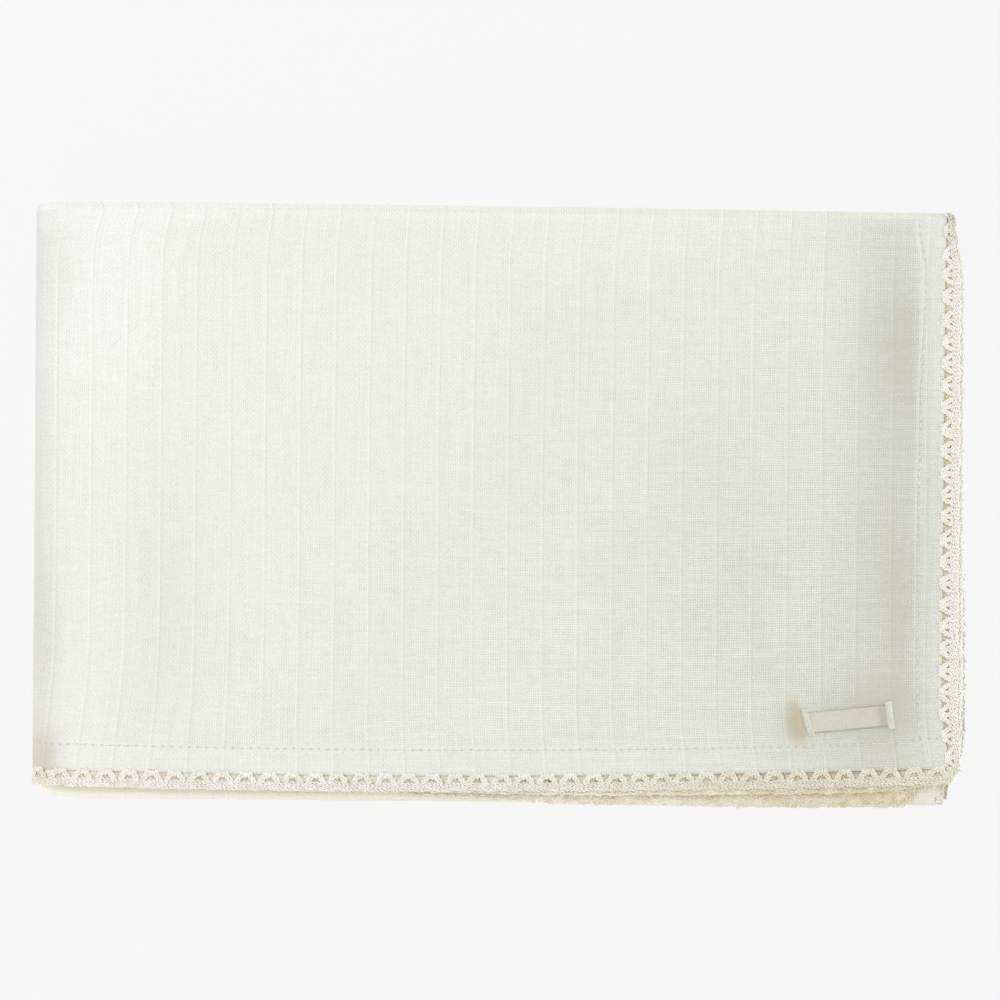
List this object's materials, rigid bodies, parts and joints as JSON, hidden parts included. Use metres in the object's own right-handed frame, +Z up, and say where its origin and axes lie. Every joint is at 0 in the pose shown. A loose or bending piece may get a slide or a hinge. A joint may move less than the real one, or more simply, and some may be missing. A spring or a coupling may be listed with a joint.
{
  "type": "folded swaddle blanket",
  "caption": "Swaddle blanket of ivory muslin with a crocheted lace edging and a small bare label, folded into a flat pack of many layers.",
  "frame": {"origin": "middle of the pack's underside, on the surface it lies on", "axes": "+X along the long side, from the rounded left fold towards the lace on the right; +Y towards the folds at the back; +Z up through the layers"},
  "size_m": [0.3072, 0.1994, 0.0185],
  "materials": {
    "cloth": "matt open cotton gauze, ivory",
    "lace": "matt twisted cotton yarn, warm ivory",
    "label": "matt ribbed cotton tape, cream"
  },
  "bodies": {
    "root": {"cloth": "cloth", "lace": "lace", "label": "label"}
  },
  "joints": []
}
